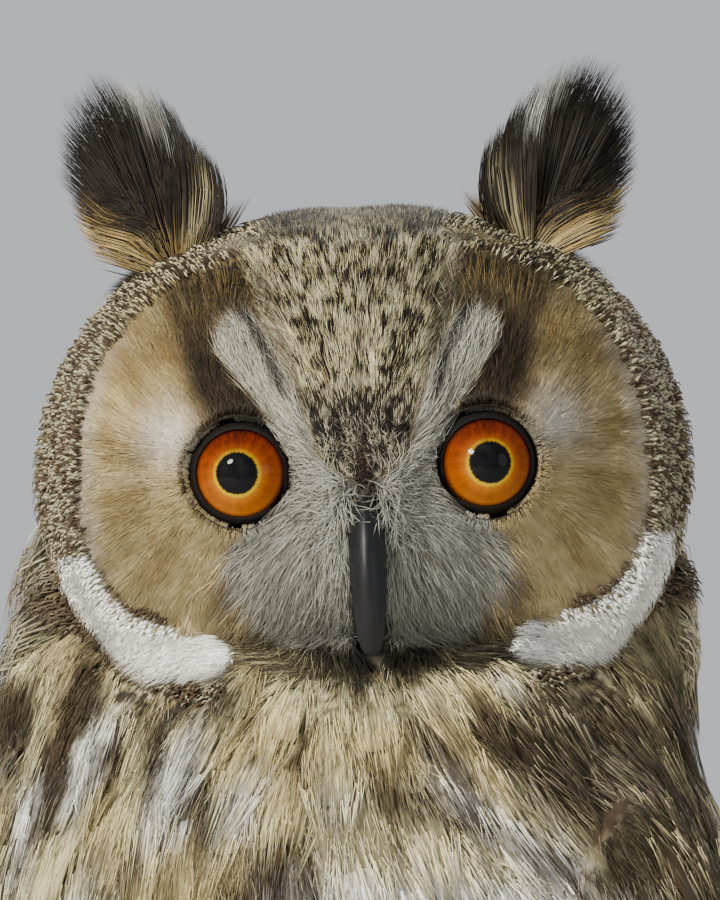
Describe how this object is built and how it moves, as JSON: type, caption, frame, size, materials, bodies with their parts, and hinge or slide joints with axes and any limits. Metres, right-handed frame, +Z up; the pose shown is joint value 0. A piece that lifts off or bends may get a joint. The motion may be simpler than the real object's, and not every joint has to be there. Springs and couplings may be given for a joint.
{
  "type": "long-eared owl",
  "caption": "Life-size still model of a perched long-eared owl with raised ear tufts, gripping a short branch on a round display stand.",
  "frame": {"origin": "middle of the underside of the stand's base", "axes": "+Z up; the owl's face looks along -Y; +X is the owl's left side, which is on the right in the picture"},
  "size_m": [0.173, 0.156, 0.3953],
  "materials": {
    "face_feathers": "matte",
    "breast_feathers": "matte",
    "tuft_feathers": "matte",
    "wing_feathers": "matte",
    "eye": "gloss",
    "bill": "satin",
    "claw": "satin",
    "bark": "rough",
    "dark_wood": "satin",
    "steel": "satin"
  },
  "bodies": {
    "root": {"head": "face_feathers", "neck": "breast_feathers", "torso": "breast_feathers", "leg_left": "breast_feathers", "leg_right": "breast_feathers", "foot_left": "breast_feathers", "foot_right": "breast_feathers", "ear_tuft_left": "tuft_feathers", "ear_tuft_right": "tuft_feathers", "wing_left": "wing_feathers", "wing_right": "wing_feathers", "tail": "wing_feathers", "eye_left": "eye", "eye_right": "eye", "bill_upper": "bill", "bill_lower": "bill", "claw_left_front_inner": "claw", "claw_left_front_outer": "claw", "claw_left_back_inner": "claw", "claw_left_back_outer": "claw", "claw_right_front_inner": "claw", "claw_right_front_outer": "claw", "claw_right_back_inner": "claw", "claw_right_back_outer": "claw", "perch": "bark", "stand_base": "dark_wood", "stand_rod_left": "steel", "stand_rod_right": "steel"}
  },
  "joints": []
}
